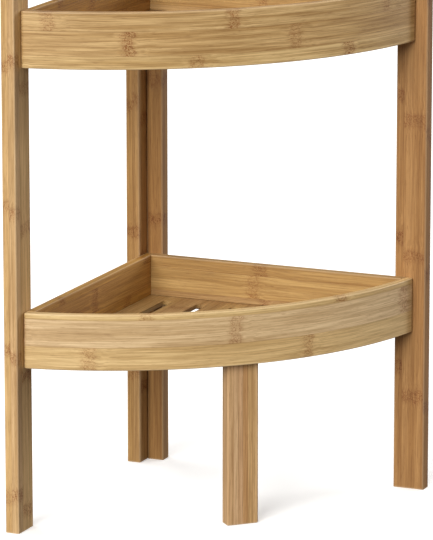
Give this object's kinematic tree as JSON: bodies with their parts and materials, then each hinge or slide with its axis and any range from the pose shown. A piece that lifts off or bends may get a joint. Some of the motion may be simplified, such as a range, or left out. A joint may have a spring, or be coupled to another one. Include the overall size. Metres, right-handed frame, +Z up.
{
  "type": "shower caddy",
  "caption": "Free-standing bamboo corner caddy: quarter-round trays with bowed rims and slotted floors between flat posts, for bottles and soap.",
  "frame": {"origin": "on the floor, in the middle of the square that the caddy takes up", "axes": "+Z up, +Y towards the back wall, -X towards the left wall, so the bowed rims face +X and -Y"},
  "size_m": [0.2944, 0.2944, 0.76],
  "materials": {
    "bamboo_post": "satin clear-coated bamboo, edge-glued strips with the grain upright",
    "bamboo_panel": "satin clear-coated bamboo, strips laid flat along the board",
    "bamboo_rim": "satin clear-coated bent bamboo, strips running round the rim",
    "screw_steel": "bright zinc-plated steel"
  },
  "bodies": {
    "root": {"left_post": "bamboo_post", "right_post": "bamboo_post", "rear_post_left_board": "bamboo_post", "rear_post_back_board": "bamboo_post", "front_leg": "bamboo_post", "tray_1_left_side": "bamboo_panel", "tray_1_back_side": "bamboo_panel", "tray_1_front_rim": "bamboo_rim", "tray_1_floor": "bamboo_panel", "tray_2_left_side": "bamboo_panel", "tray_2_back_side": "bamboo_panel", "tray_2_front_rim": "bamboo_rim", "tray_2_floor": "bamboo_panel", "tray_3_left_side": "bamboo_panel", "tray_3_back_side": "bamboo_panel", "tray_3_front_rim": "bamboo_rim", "tray_3_floor": "bamboo_panel", "tray_1_left_screw_1": "screw_steel", "tray_1_left_screw_2": "screw_steel", "tray_1_right_screw_1": "screw_steel", "tray_1_right_screw_2": "screw_steel", "tray_1_rear_left_screw": "screw_steel", "tray_1_rear_back_screw": "screw_steel", "tray_2_left_screw_1": "screw_steel", "tray_2_left_screw_2": "screw_steel", "tray_2_right_screw_1": "screw_steel", "tray_2_right_screw_2": "screw_steel", "tray_2_rear_left_screw": "screw_steel", "tray_2_rear_back_screw": "screw_steel", "tray_3_left_screw_1": "screw_steel", "tray_3_left_screw_2": "screw_steel", "tray_3_right_screw_1": "screw_steel", "tray_3_right_screw_2": "screw_steel", "tray_3_rear_left_screw": "screw_steel", "tray_3_rear_back_screw": "screw_steel", "leg_screw_1": "screw_steel", "leg_screw_2": "screw_steel"}
  },
  "joints": []
}
